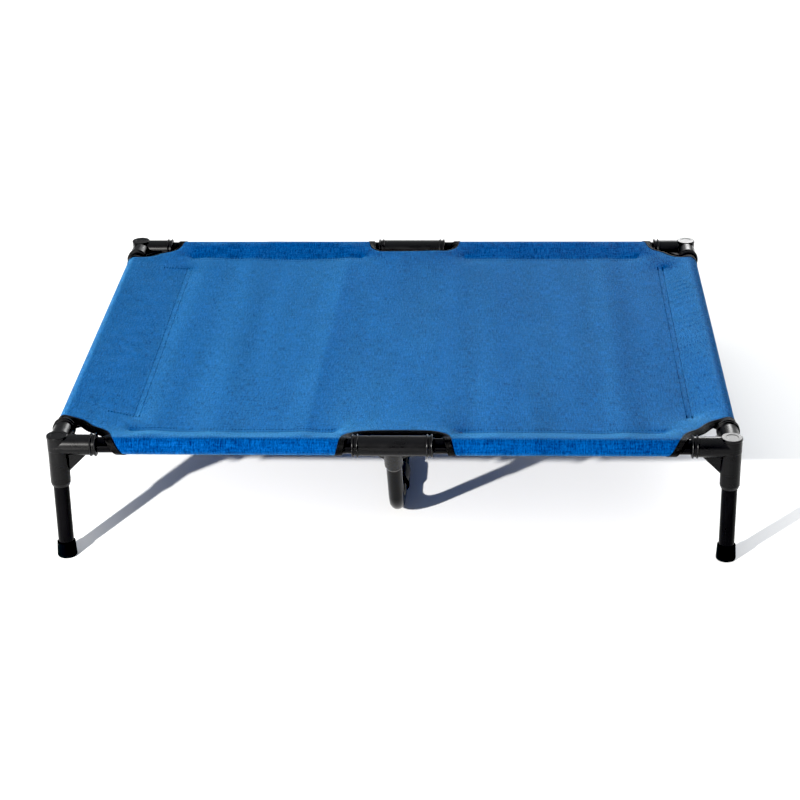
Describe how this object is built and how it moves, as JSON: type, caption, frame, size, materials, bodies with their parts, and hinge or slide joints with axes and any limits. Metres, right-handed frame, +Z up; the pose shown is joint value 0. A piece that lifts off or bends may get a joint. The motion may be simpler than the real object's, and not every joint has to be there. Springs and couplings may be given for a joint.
{
  "type": "elevated dog bed with tube frame",
  "caption": "Elevated dog bed: a woven cover stretched on a push-fit tube frame with corner posts, pull-out legs and a bent tube support under the middle.",
  "frame": {"origin": "on the floor, under the middle of the bed", "axes": "+X along the long sides to the right, +Y towards the back, +Z up"},
  "size_m": [0.9176, 0.7646, 0.1812],
  "materials": {
    "moulded_plastic": "satin, moulded",
    "gloss_tube": "gloss powder coat",
    "foot_rubber": "matte",
    "woven_cover": "coated plain weave",
    "binding_tape": "satin woven tape"
  },
  "bodies": {
    "frame": {"corner_fitting_front_left": "moulded_plastic", "corner_fitting_front_right": "moulded_plastic", "corner_fitting_back_left": "moulded_plastic", "corner_fitting_back_right": "moulded_plastic", "tee_fitting_front": "moulded_plastic", "tee_fitting_back": "moulded_plastic", "long_rail_front_left": "gloss_tube", "long_rail_front_right": "gloss_tube", "long_rail_back_left": "gloss_tube", "long_rail_back_right": "gloss_tube", "side_rail_left": "gloss_tube", "side_rail_right": "gloss_tube", "support_leg_front": "gloss_tube", "support_leg_back": "gloss_tube", "support_joiner_front": "moulded_plastic", "support_joiner_back": "moulded_plastic", "support_crossbar": "gloss_tube", "cover_deck": "woven_cover", "cover_sleeve_front_left": "woven_cover", "cover_sleeve_front_right": "woven_cover", "cover_sleeve_back_left": "woven_cover", "cover_sleeve_back_right": "woven_cover", "cover_sleeve_left": "woven_cover", "cover_sleeve_right": "woven_cover", "binding_front_left": "binding_tape", "binding_front_right": "binding_tape", "binding_back_left": "binding_tape", "binding_back_right": "binding_tape", "binding_front_middle": "binding_tape", "binding_back_middle": "binding_tape"},
    "leg_front_left": {"leg_tube_front_left": "gloss_tube", "foot_cap_front_left": "foot_rubber"},
    "leg_front_right": {"leg_tube_front_right": "gloss_tube", "foot_cap_front_right": "foot_rubber"},
    "leg_back_left": {"leg_tube_back_left": "gloss_tube", "foot_cap_back_left": "foot_rubber"},
    "leg_back_right": {"leg_tube_back_right": "gloss_tube", "foot_cap_back_right": "foot_rubber"}
  },
  "joints": [
    {"name": "leg_front_left_pull", "type": "slide", "parent": "frame", "child": "leg_front_left", "axis": [0, 0, -1], "range_m": [0, 0.05]},
    {"name": "leg_front_right_pull", "type": "slide", "parent": "frame", "child": "leg_front_right", "axis": [0, 0, -1], "range_m": [0, 0.05]},
    {"name": "leg_back_left_pull", "type": "slide", "parent": "frame", "child": "leg_back_left", "axis": [0, 0, -1], "range_m": [0, 0.05]},
    {"name": "leg_back_right_pull", "type": "slide", "parent": "frame", "child": "leg_back_right", "axis": [0, 0, -1], "range_m": [0, 0.05]}
  ]
}
